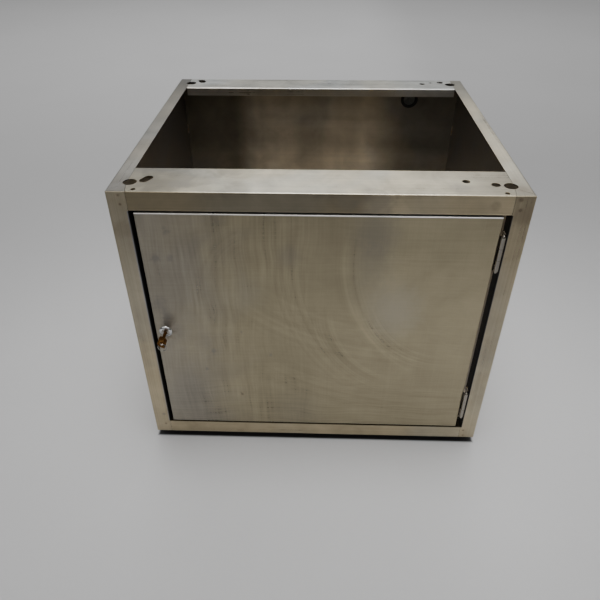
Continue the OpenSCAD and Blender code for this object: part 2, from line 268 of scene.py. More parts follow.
def stainless(
    name,
    axis,
    side_tone,
    top_tone,
    rough=0.34,
    cloud=1.0,
    streak=1.0,
    relief=1.0,
    marks=(),
    seed=0.0,
    top_axis=X_AXIS,
    inner_tone=None,
    shade=None,
):
    """Brushed sheet. Faces that look up take top_tone and are brushed along top_axis, and the others
    take side_tone and axis; the two tones differ as painted reflection. Faces that look inwards across
    the cabinet can take inner_tone, a painted shade, and shade can scale the tone by place as painted
    light and shade. Faces in the door's gap take a painted shadow. marks are (place, radius, strength,
    colour) of stains, weld marks and painted smears of reflection."""
    g = Graph(name)
    up = g.step(g.facing(Z_AXIS), 0.6, 0.9)
    fine, coarse = brushing(g, axis)
    if top_axis != axis:
        top_fine, top_coarse = brushing(g, top_axis)
        blend = g.rest(up)
        fine = g.add(g.times(fine, blend), g.times(top_fine, up))
        coarse = g.add(g.times(coarse, blend), g.times(top_coarse, up))
    moved = g.vector("ADD", g.point, (seed, seed * 1.7, seed * 0.6))
    rearward = g.step(g.split(g.normal)[1], 0.5, 0.9, 1.0, 0.5)
    calm = g.times(rearward, g.step(g.facing(X_AXIS), 0.5, 0.9, 1.0, 0.42))
    coarse = g.times(coarse, calm)
    clouds = g.times(calm, g.swing(moved, 6.0, 4.0, 0.55, 0.6))
    blots = g.times(calm, g.swing(moved, 24.0, 4.0, 0.62, 0.5))
    value = g.add(
        1.0,
        g.times(fine, 0.22 * streak),
        g.times(coarse, 0.30 * streak),
        g.times(clouds, 0.80 * cloud),
        g.times(blots, 0.50 * cloud),
        g.times(blots, up, 0.35 * cloud),
    )
    # Painted reflection: sides and tops take different tones
    colour = g.mix(up, rgb(*side_tone), rgb(*top_tone))
    # Painted shade: faces that look inwards take inner_tone
    if inner_tone:
        outward = g.times(g.split(g.point)[0], g.split(g.normal)[0])
        colour = g.mix(g.step(outward, 0.02, -0.10), colour, rgb(*inner_tone))
    cool = g.step(g.noise(moved, 5.0, 3.0, 0.5, 0.8), 0.40, 0.66)
    cast = g.mix(cool, rgb(1.03, 1.0, 0.95), rgb(0.96, 0.985, 1.04))
    colour = g.mix(1.0, colour, cast, "MULTIPLY")
    # Painted light and shade by place
    if shade:
        value = g.times(value, shade(g, up))
    # Painted shadow on the faces in the door's gap
    gap = gap_shade(g)
    value = g.times(value, gap)
    colour = g.scale_colour(colour, value)
    roughness = g.add(
        rough,
        g.times(clouds, -0.18),
        g.times(blots, 0.12),
        g.times(coarse, 0.16),
        g.times(fine, 0.10),
        g.times(g.rest(gap), 0.6),
    )
    for place, radius, strength, tint in marks:
        away = g.vector("DISTANCE", g.point, tuple(place))
        edge = g.add(away, g.times(blots, radius * 1.6))
        inside = g.step(edge, radius * 0.25, radius, strength, 0.0)
        colour = g.mix(inside, colour, rgb(*tint))
        roughness = g.add(roughness, g.times(inside, 0.12))
    height = g.add(fine, g.times(coarse, 0.5))
    normal = g.bump(height, 0.00002 * relief, g.soft_edges(SHEET_EDGE))
    return g.finish(colour, roughness, normal, metallic=1.0)


def front_rail_shade(g, up):
    """Painted reflection: the rail's face is duller left of the middle, and its top is duller towards
    the corners and, with some mottling, in patches on its left.
    """
    x = g.split(g.point)[0]
    face = g.step(g.add(x, g.times(g.wave(g.point, (30, 30, 30)), 0.02)), 0.050, 0.094, 0.58, 1.16)
    patches = g.noise(g.point, 17.0, 3.0, 0.6, 0.4)
    # Mottling and painted reflection: duller patches on the top's left
    wear_and_shade = g.add(1.0, g.times(g.step(x, -0.06, -0.16), g.step(patches, 0.40, 0.62, -0.30, 0.04)))
    top = g.times(g.step(x, -0.29, -0.05, 0.30, 0.92), g.step(x, 0.15, 0.275, 1.0, 0.52), wear_and_shade)
    return g.add(g.times(face, g.rest(up)), g.times(top, up))


def side_shade(g, up):
    """Painted shade: the top flanges are duller at their ends, and the posts near the top."""
    _, y, z = g.split(g.point)
    ends = g.times(g.step(y, -0.26, -0.16, 0.42, 0.84), g.step(y, 0.10, 0.27, 1.0, 0.55))
    post = g.step(z, 0.36, 0.50, 1.0, 0.80)
    return g.add(g.times(post, g.rest(up)), g.times(ends, up))


def back_shade(g, up):
    """Painted light and shade: the back panel's inner face is brighter in the middle and in its lower
    part.
    """
    x, _, z = g.split(g.point)
    bands = g.noise(g.join(g.times(x, 17.0), 0.3, 0.7), 1.0, 2.0)
    moved = g.add(x, g.times(g.math("SUBTRACT", bands, 0.5), 0.05))
    middle = g.times(g.step(moved, -0.20, -0.10, 0.33, 1.05), g.step(moved, 0.10, 0.205, 1.0, 0.36))
    dip = g.step(x, -0.075, -0.025, 1.0, 0.80)
    rise = g.step(x, -0.01, 0.035, 0.0, 0.25)
    lower = g.step(z, 0.33, 0.38, 1.15, 0.85)
    tones = g.times(middle, g.add(dip, rise), lower, g.add(0.75, g.times(bands, 0.5)))
    inward = g.step(g.split(g.normal)[1], 0.3, -0.3)
    return g.add(g.times(tones, inward), g.times(0.72, g.rest(inward)))


def arc_streaks(g, x, z, centre, radius, width, towards, reach, seed):
    """Streaks along part of a circle on the door: about zero, and none outside the arc. centre and
    radius are in mm, towards is the arc's middle direction in degrees, and reach half its angle."""
    dx = g.math("SUBTRACT", x, centre[0] * MM)
    dz = g.math("SUBTRACT", z, BODY_LOW + centre[1] * MM)
    away = g.spread_from(dx, dz)
    lines = g.add(
        g.times(g.wave_at(g.times(away, 300.0), seed, 0.0, 2.0), 0.7),
        g.times(g.wave_at(g.times(away, 75.0), seed, 4.0, 1.0), 1.2),
    )
    off = g.math("ABSOLUTE", g.math("SUBTRACT", away, radius * MM))
    ring = g.step(off, width * 0.3 * MM, width * MM, 1.0, 0.0)
    angle = math.radians(towards)
    along = g.add(g.times(dx, math.cos(angle)), g.times(dz, math.sin(angle)))
    cosine = g.math("DIVIDE", along, g.math("MAXIMUM", away, 0.001))
    half = math.radians(reach)
    sector = g.step(cosine, math.cos(half), math.cos(half * 0.45))
    return g.times(lines, ring, sector)


# Hand-buffed arcs: centre, radius and half width in mm, middle direction and half angle in
# degrees, and strength
ARCS = (
    ((302, 390), 255, 38, 203, 38, 1.3),
    ((218, 332), 143, 30, 228, 42, 1.6),
    ((182, 299), 174, 34, 214, 38, 1.5),
    ((270, 383), 319, 40, 200, 34, 1.2),
    ((-95, 367), 55, 24, 150, 80, 0.45),
    ((-60, 330), 120, 40, 165, 60, 0.50),
    ((150, 620), 400, 60, 252, 26, 0.8),
    ((230, 700), 610, 50, 256, 20, 0.9),
)


def buffed_door():
    """The door's face: brushed sheet that was buffed by hand in arcs, with smudges and fingermarks, and
    with painted light and shade: darker low down, brighter to the upper right, a painted highlight
    along its top bend and painted shadow on its edges in the gap.
    """
    g = Graph("steel_door")
    x, _, z = g.split(g.point)
    warp = g.noise(g.point, 6.0, 2.0, 0.5, 0.3)
    bent_x = g.add(x, g.times(g.math("SUBTRACT", warp, 0.5), 0.035))
    bent_z = g.add(z, g.times(g.math("SUBTRACT", warp, 0.5), 0.05))
    upright = g.wave_at(g.times(bent_x, 240.0), 0.0, g.times(z, 9.0), 3.0)
    level = g.wave_at(g.times(x, 7.0), 3.0, g.times(bent_z, 260.0), 3.0)
    patches = g.noise(g.point, 9.0, 2.0, 0.5, 0.5)
    broad = g.wave_at(g.times(bent_x, 62.0), 5.0, g.times(z, 5.0), 2.0)
    left = g.times(g.step(x, 0.06, -0.08), g.step(patches, 0.38, 0.6, 0.45, 1.15))
    low = g.step(z, 0.20, 0.06)
    streaks = g.add(
        g.times(upright, left, 1.4),
        g.times(broad, left, 1.1),
        g.times(level, low, 1.2),
        g.times(level, 0.35),
    )
    for i, (centre, radius, width, towards, reach, strength) in enumerate(ARCS):
        arc = arc_streaks(g, x, z, centre, radius, width, towards, reach, 3.1 * i)
        streaks = g.add(streaks, g.times(arc, strength))
    fine = g.add(
        g.wave(g.point, grain_scale(X_AXIS, 1900.0), 1.0),
        g.wave(g.point, grain_scale(Z_AXIS, 1500.0), 1.0),
    )
    clouds = g.swing(g.point, 5.5, 4.0, 0.55, 0.7)
    blots = g.swing(g.point, 21.0, 4.0, 0.6, 0.6)
    value = g.add(
        1.0,
        g.times(streaks, 0.42),
        g.times(fine, 0.20),
        g.times(clouds, 0.55),
        g.times(blots, 0.30),
    )
    warm = rgb(0.375, 0.328, 0.222)
    cool = rgb(0.345, 0.313, 0.255)
    side = g.step(g.add(x, g.times(clouds, 0.25)), -0.10, -0.24)
    colour = g.mix(side, warm, cool)
    # Painted light and shade: brighter to the upper right, darker low down
    right = g.times(g.step(x, 0.03, 0.11, 0.0, 0.20), g.step(z, 0.10, 0.36))
    value = g.times(value, g.add(g.step(z, 0.05, 0.34, 0.90, 1.0), right))
    colour = g.scale_colour(colour, value)
    # Painted highlight along the door's top bend
    bend = g.times(g.step(z, DOOR_TOP - 0.003, DOOR_TOP - 0.0015), g.step(x, -0.20, 0.20, 0.55, 1.0))
    colour = g.mix(bend, colour, rgb(0.92, 0.91, 0.88))
    # Painted shadow on the door's edges inside the gap
    edge_on = g.step(g.split(g.point)[1], FRONT_Y + 0.0035, FRONT_Y + 0.0055, 1.0, GAP_SHADE)
    colour = g.scale_colour(colour, edge_on)
    roughness = g.add(0.36, g.times(streaks, 0.22), g.times(clouds, 0.16), g.times(fine, 0.10))
    for px, up, radius, strength, tint in DOOR_MARKS:
        dx = g.math("SUBTRACT", x, px * MM)
        dz = g.times(g.math("SUBTRACT", z, BODY_LOW + up * MM), 0.8)
        away = g.spread_from(dx, dz)
        ragged = min(radius * 2.6, 26) * MM
        edge = g.add(away, g.times(g.swing(g.point, 90.0, 4.0, 0.6, 0.5), ragged))
        inside = g.step(edge, radius * 0.1 * MM, radius * 1.1 * MM, strength, 0.0)
        colour = g.mix(inside, colour, rgb(*tint))
        roughness = g.add(roughness, g.times(inside, 0.1))
    relief = g.add(g.times(streaks, 0.9), g.times(fine, 0.8))
    normal = g.bump(relief, 0.00003, g.soft_edges(SHEET_EDGE))
    return g.finish(colour, roughness, normal, metallic=1.0)


DARK_GREY = (0.21, 0.205, 0.20)
DARK_BROWN = (0.16, 0.12, 0.085)
PALE = (0.56, 0.53, 0.46)

# Marks on the door: across, up, radius, strength and colour. Most are stains; the dark column at 78 to
# 84 across is a painted reflection, and the dark brown ring round the lock is a painted shadow.
DOOR_MARKS = (
    (-223, 438, 7, 0.45, DARK_GREY),
    (-246, 388, 9, 0.50, DARK_GREY),
    (-222, 390, 7, 0.35, DARK_GREY),
    (-252, 305, 16, 0.35, DARK_GREY),
    (-242, 278, 13, 0.45, DARK_GREY),
    (-235, 250, 20, 0.22, DARK_GREY),
    (-245, 246, 15, 0.70, DARK_BROWN),
    (-246, 262, 12, 0.30, DARK_GREY),
    (-173, 205, 7, 0.55, DARK_GREY),
    (-188, 165, 4, 0.55, DARK_GREY),
    (-131, 105, 4, 0.60, DARK_BROWN),
    (-123, 249, 3, 0.40, DARK_GREY),
    (-76, 201, 4, 0.45, DARK_GREY),
    (-226, 93, 60, 0.25, DARK_GREY),
    (-43, 397, 24, 0.22, DARK_GREY),
    (84, 440, 46, 0.36, DARK_GREY),
    (84, 385, 44, 0.26, DARK_GREY),
    (78, 330, 40, 0.14, DARK_GREY),
    (124, 297, 56, 0.34, PALE),
    (-110, 330, 40, 0.12, PALE),
    (-30, 60, 60, 0.12, DARK_GREY),
)

# Spot welds and heat marks on the posts' fronts
LEFT_MARKS = (
    (spot_at(-281.4, 0, 494), 4.5 * MM, 0.65, DARK_BROWN),
    (spot_at(-281.0, 0, 480), 3.5 * MM, 0.75, DARK_BROWN),
    (spot_at(-281.0, 0, 47), 4.0 * MM, 0.45, DARK_GREY),
    (spot_at(-280.5, 0, 21), 3.2 * MM, 0.60, DARK_BROWN),
    (spot_at(-285.0, 0, 440), 18 * MM, 0.20, DARK_BROWN),
    (spot_at(-290.0, 14, 500), 16 * MM, 0.22, DARK_GREY),
)
RIGHT_MARKS = (
    (spot_at(279.0, 0, 494), 4.5 * MM, 0.55, DARK_BROWN),
    (spot_at(281.0, 0, 478), 4.0 * MM, 0.60, DARK_BROWN),
    (spot_at(277.6, 0, 20.4), 3.5 * MM, 0.60, DARK_BROWN),
    (spot_at(279.0, 0, 6.4), 3.0 * MM, 0.60, DARK_BROWN),
    (spot_at(286.0, 0, 468), 22 * MM, 0.30, DARK_BROWN),
    (spot_at(284.0, 22, 500), 12 * MM, 0.30, DARK_BROWN),
    (spot_at(282.0, 50, 500), 9 * MM, 0.25, DARK_BROWN),
)
# Marks on the front rail: place, radius, strength and colour. The two dark grey ones on its face, at 40
# and 84 across, are a painted reflection.
RAIL_MARKS = (
    (spot_at(84.0, 0, 486), 34 * MM, 0.40, DARK_GREY),
    (spot_at(40.0, 0, 488), 18 * MM, 0.22, DARK_GREY),
    (spot_at(246.0, 0, 484), 11 * MM, 0.25, DARK_BROWN),
    (spot_at(-196.0, 28, 500), 26 * MM, 0.18, DARK_GREY),
    (spot_at(196.0, 22, 500), 24 * MM, 0.16, DARK_GREY),
)

# Reflectances of the sheet: faces, flanges, the rear rail and the inside. Their differences are partly
# painted light and shade: the warmer side faces are a painted reflection, the darker left top flange is
# painted shade, and the rear rail's tones and the inside's tones are painted light and shade.
SIDE_TONE = (0.44, 0.382, 0.268)
TOP_TONE = (0.47, 0.438, 0.345)
# The left top flange is darker as painted shade
LEFT_TOP_SHADED_TONE = (0.215, 0.203, 0.170)
REAR_TONE = (0.365, 0.367, 0.340)
REAR_FACE = (0.66, 0.64, 0.60)
INNER_TONE = (0.61, 0.56, 0.475)
WALL_TONE = (0.37, 0.355, 0.35)


# How far edges are rounded in the shading of small metal parts, in metres
SMALL_EDGE = 0.0002


def plain_metal(name, tone, rough, blot=0.12, scale=60.0, relief=0.00003):
    """Rolled or plated metal: mottled, with a fine grain."""
    g = Graph(name)
    blots = g.swing(g.point, scale, 4.0, 0.6, 0.4)
    grit = g.swing(g.point, 2200.0, 2.0, 0.6)
    value = g.add(1.0, g.times(blots, blot * 2), g.times(grit, blot))
    colour = g.scale_colour(rgb(*tone), value)
    roughness = g.add(rough, g.times(blots, 0.16), g.times(grit, 0.06))
    normal = g.bump(g.add(grit, g.times(blots, 2.0)), relief, g.soft_edges(SMALL_EDGE))
    return g.finish(colour, roughness, normal, metallic=1.0)


def chrome_shaded_below():
    """Chrome plate: painted shade darkens its lower half, which is also rougher."""
    g = Graph("chrome")
    z = g.split(g.point)[2]
    blots = g.swing(g.point, 420.0, 3.0, 0.6, 0.6)
    lower_shade = g.step(g.add(z, g.times(blots, 0.010)), LOCK_Z - 0.006, LOCK_Z + 0.007, 0.42, 1.0)
    colour = g.scale_colour(rgb(0.86, 0.86, 0.85), g.times(lower_shade, g.add(1.0, g.times(blots, 0.5))))
    roughness = g.add(0.11, g.times(g.rest(lower_shade), 0.16))
    return g.finish(colour, roughness, g.bump(blots, 0.00003, g.soft_edges(SMALL_EDGE)), metallic=1.0)


def hinge_steel():
    """Drawn steel: bright on the knuckles' fronts, and darkened behind them in the door's gap as
    painted shadow.
    """
    g = Graph("steel_bright")
    y = g.split(g.point)[1]
    drawn = g.wave(g.point, (1500.0, 1500.0, 12.0), 2.0)
    blots = g.swing(g.point, 70.0, 3.0, 0.5)
    # Painted shadow behind the knuckles' fronts, in the door's gap
    wear_and_shade = g.step(y, HINGE_Y - 0.0012, HINGE_Y + 0.0008, 1.0, 0.12)
    value = g.times(wear_and_shade, g.add(1.0, g.times(drawn, 0.2), g.times(blots, 0.25)))
    colour = g.scale_colour(rgb(0.33, 0.305, 0.265), value)
    roughness = g.add(0.20, g.times(blots, 0.1), g.times(drawn, 0.08))
    return g.finish(colour, roughness, g.bump(drawn, 0.00002, g.soft_edges(SMALL_EDGE)), metallic=1.0)


def tarnished_brass():
    """Brass with dark tarnish, rubbed brighter in spots."""
    g = Graph("key_brass")
    dirt = g.noise(g.point, 140.0, 4.0, 0.65, 0.8)
    scratches = g.wave(g.point, (900.0, 120.0, 900.0), 2.0)
    wear_and_shade = g.step(g.add(dirt, g.times(scratches, 0.25)), 0.42, 0.70)
    colour = g.mix(wear_and_shade, rgb(0.085, 0.036, 0.010), rgb(0.34, 0.170, 0.050))
    roughness = g.add(0.42, g.times(dirt, 0.2), g.times(scratches, 0.1))
    normal = g.bump(g.add(scratches, g.times(dirt, 2.0)), 0.00003, g.soft_edges(0.0003))
    return g.finish(colour, roughness, normal, metallic=1.0)


def soft_black(name, tone, rough, scale=900.0, relief=0.00006):
    """Rubber or moulded plastic: dark, with a fine pebble and patches of dust."""
    g = Graph(name)
    pebble = g.swing(g.point, scale, 3.0, 0.6)
    dust = g.step(g.noise(g.point, 50.0, 4.0, 0.6, 0.5), 0.45, 0.75)
    colour = g.mix(g.times(dust, 0.5), rgb(*tone), rgb(*(v * 2.6 + 0.02 for v in tone)))
    colour = g.scale_colour(colour, g.add(1.0, g.times(pebble, 0.3)))
    roughness = g.add(rough, g.times(dust, 0.12), g.times(pebble, 0.1))
    normal = g.bump(pebble, relief, g.soft_edges(0.0003))
    return g.finish(colour, roughness, normal)


def concrete():
    """The stage's pale floor, with a painted shadow under the body and painted shade that makes it a
    little duller to its right.
    """
    g = Graph("floor_concrete")
    large = g.noise(g.point, 1.6, 5.0, 0.6, 0.4)
    grit = g.noise(g.point, 90.0, 3.0, 0.6)
    value = g.add(0.93, g.times(large, 0.12), g.times(grit, 0.03))
    x, y, _ = g.split(g.point)
    middle = (FRONT_Y + BACK_Y) / 2
    outside = g.math(
        "MAXIMUM",
        g.math("SUBTRACT", g.math("ABSOLUTE", x), HALF_W),
        g.math("SUBTRACT", g.math("ABSOLUTE", g.math("SUBTRACT", y, middle)), BACK_Y - middle),
    )
    # Painted shadow under the body, and painted shade to its right
    shadow_under_body = g.step(outside, -0.003, 0.003, 0.03, 1.0)
    value = g.times(value, shadow_under_body, g.step(x, 0.28, 0.75, 1.0, 0.84))
    colour = g.scale_colour(rgb(0.50, 0.50, 0.505), value)
    roughness = g.add(0.48, g.times(large, 0.12))
    normal = g.bump(grit, 0.0002)
    return g.finish(colour, roughness, normal)


def give(material, *names):
    for name in names:
        node = NODES[name]
        node.data.materials.clear()
        node.data.materials.append(material)


def side_steel(name, top_tone, marks, seed):
    return stainless(
        name,
        Z_AXIS,
        SIDE_TONE,
        top_tone,
        streak=1.2,
        cloud=0.85,
        marks=marks,
        seed=seed,
        top_axis=Y_AXIS,
        inner_tone=WALL_TONE,
        shade=side_shade,
    )


def inner_steel(name, seed, cloud=1.0, shade=None):
    return stainless(
        name,
        X_AXIS,
        INNER_TONE,
        INNER_TONE,
        rough=0.5,
        relief=0.3,
        streak=0.5,
        cloud=cloud,
        seed=seed,
        shade=shade,
    )


def finish_frame():
    """Gives each CAD node that stays its material."""
    give(side_steel("steel_left", LEFT_TOP_SHADED_TONE, LEFT_MARKS, 1.3), "side_panel_left")
    give(side_steel("steel_right", TOP_TONE, RIGHT_MARKS, 4.1), "side_panel_right")
    front = stainless(
        "steel_front_rail",
        X_AXIS,
        SIDE_TONE,
        TOP_TONE,
        marks=RAIL_MARKS,
        seed=2.2,
        shade=front_rail_shade,
    )
    give(front, "front_top_rail")
    give(stainless("steel_rear_rail", X_AXIS, REAR_FACE, REAR_TONE, seed=6.7), "rear_top_rail")
    low = stainless("steel_low_rail", X_AXIS, SIDE_TONE, SIDE_TONE, seed=3.3)
    give(low, "front_bottom_rail", "rear_bottom_rail")
    give(inner_steel("steel_back", 8.5, shade=back_shade), "back_panel")
    give(inner_steel("steel_floor", 5.2, cloud=0.45), "floor_panel")
    give(buffed_door(), "door_panel")
    give(hinge_steel(), *(n for n in NODES if n.startswith("hinge_")))
    give(plain_metal("plate_steel", (0.50, 0.49, 0.47), 0.42), "foot_plates")
    give(plain_metal("nickel", (0.34, 0.33, 0.30), 0.26), "lock_plug", "key_ring")


# ---- Building pieces ----


def rounded(angle, radius, height):
    """The shape that leaves a turned profile as it is."""
    return radius, height


def turned(bm, profile, steps=48, closed=False, shape=rounded, place=None):
    """Turns a profile of (radius, height) points, in mm, about Z. shape(angle, radius, height) may
    change each point on its way round."""
    rings = []
    made = []
    for radius, height in profile:
        ring = []
        for i in range(1 if radius < 1e-6 else steps):
            angle = TAU * i / steps
            r, h = shape(angle, radius, height)
            ring.append(bm.verts.new((r * MM * math.cos(angle), r * MM * math.sin(angle), h * MM)))
        rings.append(ring)
        made += ring
    pairs = list(zip(rings, rings[1:]))
    if closed:
        pairs.append((rings[-1], rings[0]))
    for low, high in pairs:
        for i in range(steps):
            corners = []
            for ring, k in ((low, i), (low, i + 1), (high, i + 1), (high, i)):
                vert = ring[k % len(ring)]
                if vert not in corners:
                    corners.append(vert)
            if len(corners) > 2:
                bm.faces.new(corners)
    if place is not None:
        bmesh.ops.transform(bm, matrix=place, verts=made)
    return made


def add_piece(name, bm, body, material, place=None, replaced=(), angle=35):
    """Makes a bmesh into a piece that rides on a body and stands for the named CAD nodes."""
    bmesh.ops.recalc_face_normals(bm, faces=bm.faces)
    mesh = bpy.data.meshes.new(name)
    bm.to_mesh(mesh)
    bm.free()
    if place is not None:
        mesh.transform(place)
    mesh.shade_smooth()
    mesh.set_sharp_from_angle(angle=math.radians(angle))
    mesh.materials.append(material)
    piece = bpy.data.objects.new(name, mesh)
    bpy.context.scene.collection.objects.link(piece)
    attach(piece, body)
    if replaced:
        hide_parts(*replaced)
    return piece


def arc_points(x, y, radius, start, end, count=10):
    """Points in mm round part of a circle, between two angles in degrees."""
    angles = [math.radians(start + (end - start) * i / count) for i in range(count + 1)]
    return [(x + radius * math.cos(a), y + radius * math.sin(a)) for a in angles]


def flat_part(loops, thickness, edge):
    """A bmesh of a flat part with rounded edges: the first loop is its outline and the others are
    holes, in mm."""
    curve = bpy.data.curves.new("outline", "CURVE")
    curve.dimensions = "2D"
    curve.fill_mode = "BOTH"
    curve.extrude = (thickness / 2 - edge) * MM
    curve.bevel_depth = edge * MM
    curve.bevel_resolution = 2
    curve.offset = -edge * MM
    for loop in loops:
        spline = curve.splines.new("POLY")
        spline.points.add(len(loop) - 1)
        for point, (x, y) in zip(spline.points, loop):
            point.co = (x * MM, y * MM, 0, 1)
        spline.use_cyclic_u = True
    holder = bpy.data.objects.new("outline", curve)
    bpy.context.scene.collection.objects.link(holder)
    bpy.context.view_layer.update()
    bm = bmesh.new()
    bm.from_mesh(holder.to_mesh())
    bpy.data.objects.remove(holder)
    bmesh.ops.remove_doubles(bm, verts=bm.verts, dist=1e-6)
    return bm


def hex_radius(angle, corner):
    """Distance from the middle to the side of a hexagon whose first corner is at angle 0."""
    return corner * math.cos(math.pi / 6) / math.cos(angle % (math.pi / 3) - math.pi / 6)


def hex_nut_shape(bore, corner, start, slope):
    """A shape for turned(): a hexagon round a bore, with a chamfer's cone above the height start."""

    def shape(angle, radius, height):
        if radius < bore + 1.0:
            return radius, height
        cone = corner if height < start else corner - (height - start) * slope
        return min(hex_radius(angle, radius), cone), height

    return shape


def screw_thread(crest, depth, pitch, low, high):
    """A shape for turned() that cuts a helical thread into a rod of this radius between heights."""

    def shape(angle, radius, height):
        if abs(radius - crest) > 1e-6 or not low <= height <= high:
            return radius, height
        turn = (height / pitch - angle / TAU) % 1.0
        fade = min(1.0, (height - low) / pitch, (high - height) / pitch)
        return radius - depth * fade * abs(2 * turn - 1), height

    return shape


def rows_between(radius, low, high, step):
    """Profile points up a rod of one radius, close enough together to carry a thread."""
    count = max(1, round((high - low) / step))
    return [(radius, low + (high - low) * i / count) for i in range(count + 1)]


def weld_bead(bm, start, end, radius):
    """A rippled bead between two points in the row frame. radius is in mm."""
    start, end = Vector(start), Vector(end)
    length = (end - start).length / MM
    ripple = radius * 1.1
    profile = [(0, 0)]
    count = max(6, round(length / 0.35))
    for i in range(1, count):
        along = length * i / count
        ends = min(1.0, along / radius, (length - along) / radius)
        lump = 0.84 + 0.16 * abs(math.sin(math.pi * along / ripple))
        profile.append((radius * math.sqrt(ends) * lump, along))
    profile.append((0, length))
    turn = (end - start).to_track_quat("Z", "Y").to_matrix().to_4x4()
    turned(bm, profile, 14, place=Matrix.Translation(start) @ turn)


# ---- Lock, key and stops ----

LOCK = spot_at(-249, 0, 247)
KEY_TURN = math.radians(38)
# Turns a part made about Z so that its Z runs back into the cabinet
BACKWARDS = Matrix.Rotation(-math.pi / 2, 4, "X")
AT_LOCK = Matrix.Translation(LOCK) @ BACKWARDS


def lock_head():
    """The lock's housing: domed head, threaded barrel and the plug's bore."""
    bore, barrel, rim = 6.55, 9.0, 11.0
    profile = [(bore, -1.9), (bore + 0.15, -2.3), (bore + 0.45, -2.5), (7.3, -2.5), (7.8, -2.44)]
    profile += [(8.4, -2.3), (9.1, -2.02), (9.7, -1.67), (10.2, -1.27), (10.6, -0.85)]
    profile += [(10.85, -0.5), (rim, -0.2)]
    profile += [(rim, -0.05), (rim - 0.1, 0.0), (barrel + 0.01, 0.0)]
    profile += rows_between(barrel, 0.02, 21.6, 0.125)
    profile += [(barrel - 0.4, 22.0), (bore + 0.2, 22.0), (bore, 21.8)]
    bm = bmesh.new()
    turned(bm, profile, 56, closed=True, shape=screw_thread(barrel, 0.5, 1.0, 1.5, 21.6))
    return bm


def lock_nut():
    """The nut behind the door, chamfered on its rear corners."""
    corner, bore, low, high = 12.5, 9.02, 1.5, 6.5
    profile = [(bore + 0.4, low), (corner - 0.3, low), (corner, low + 0.15)]
    profile += [(corner, height) for height in (5.3, 5.6, 5.9, 6.2)]
    profile += [(corner * 0.86, high), (bore + 0.5, high), (bore, high - 0.5), (bore, low + 0.4)]
    bm = bmesh.new()
    turned(bm, profile, 72, closed=True, shape=hex_nut_shape(bore, corner, 5.2, 1.35))
    return bm


def cam_screw():
    """Button-headed screw with a hexagon socket."""
    profile = [(0, 20.8), (1.6, 20.8), (2.0, 21.2), (2.0, 25.5), (4.7, 25.5), (5.0, 25.7), (5.0, 26.1)]
    profile += [(4.8, 26.7), (4.2, 27.3), (3.4, 27.6), (2.6, 27.7), (2.5, 27.5), (2.5, 26.1), (0, 26.1)]

    def shape(angle, radius, height):
        socket = height > 25.9 and 0 < radius <= 2.6
        return (hex_radius(angle, radius) if socket else radius), height

    bm = bmesh.new()
    turned(bm, profile, 48, shape=shape)
    return bm


def lock_cam():
    """A stamped lever with round ends and a square hole that is turned with the plug."""
    half, length, hole = 7.0, 30.0, 3.52
    outline = arc_points(0, 0, half, 180, 360, 24) + arc_points(0, length, half, 0, 180, 24)
    turn = math.degrees(KEY_TURN)
    square = arc_points(0, 0, hole * math.sqrt(2), 45 + turn, 315 + turn, 3)
    return flat_part([outline, square], 2.0, 0.3)


def cut_key():
    """Flat key: a bow with a hole, a neck, and a blade with cuts on both edges."""
    neck, blade_half = 2.5, 3.5
    bow = [(neck, -2.52), (neck, -14.6), (2.7, -15.4), (3.2, -15.9)]
    bow += arc_points(3, -20, 4, 80, 0, 8) + arc_points(3, -34, 4, 0, -90, 8)
    bow += arc_points(-3, -34, 4, 270, 180, 8) + arc_points(-3, -20, 4, 180, 100, 8)
    bow += [(-3.2, -15.9), (-2.7, -15.4), (-neck, -14.6), (-neck, -2.52)]
    hole = arc_points(0, -33.4, 2.8, 0, 345, 23)
    bm = flat_part([bow, hole], 2.0, 0.35)
    cuts = ((2.2, 0.9), (5.4, 1.7), (8.6, 0.6), (11.8, 1.5), (15.0, 1.0))
    right = [(blade_half, -2.5)]
    for middle, depth in cuts:
        floor = blade_half - depth
        right += [(blade_half, middle - 1.1), (floor, middle - 0.35)]
        right += [(floor, middle + 0.35), (blade_half, middle + 1.1)]
    right += [(blade_half, 17.2), (1.6, 19.0)]
    left = [(-x, y) for x, y in reversed(right)]
    blade = flat_part([right + left], 1.8, 0.15)
    keep = bpy.data.meshes.new("blade")
    blade.to_mesh(keep)
    blade.free()
    bm.from_mesh(keep)
    bpy.data.meshes.remove(keep)
    return bm


def stop_buttons():
    """The two rubber buttons that the door's latch edge closes on."""
    bm = bmesh.new()
    profile = [(0, 18.35), (2.6, 18.4), (3.7, 18.6), (4.3, 19.0), (4.5, 19.5), (4.5, 19.98), (0, 19.98)]
    for up in (127, 367):
        turned(bm, profile, 40, place=Matrix.Translation(spot_at(-265, 0, up)) @ BACKWARDS)
    return bm


def grommet_ring():
    """The grommet: a rounded rim inside the panel, a neck and a flatter rim behind it."""
    profile = [(12.15, -1.0), (12.4, -1.75), (13.1, -2.15), (14.2, -2.2), (16.8, -2.2), (17.7, -1.9)]
    profile += [(18.2, -1.2), (18.2, -0.3), (17.9, -0.02), (15.6, -0.02), (15.6, 1.52), (17.9, 1.52)]
    profile += [(18.25, 1.9), (18.1, 2.6), (17.4, 3.05), (13.3, 3.08), (12.5, 2.8), (12.15, 2.2)]
    bm = bmesh.new()
    turned(bm, profile, 72, closed=True)
    return bm


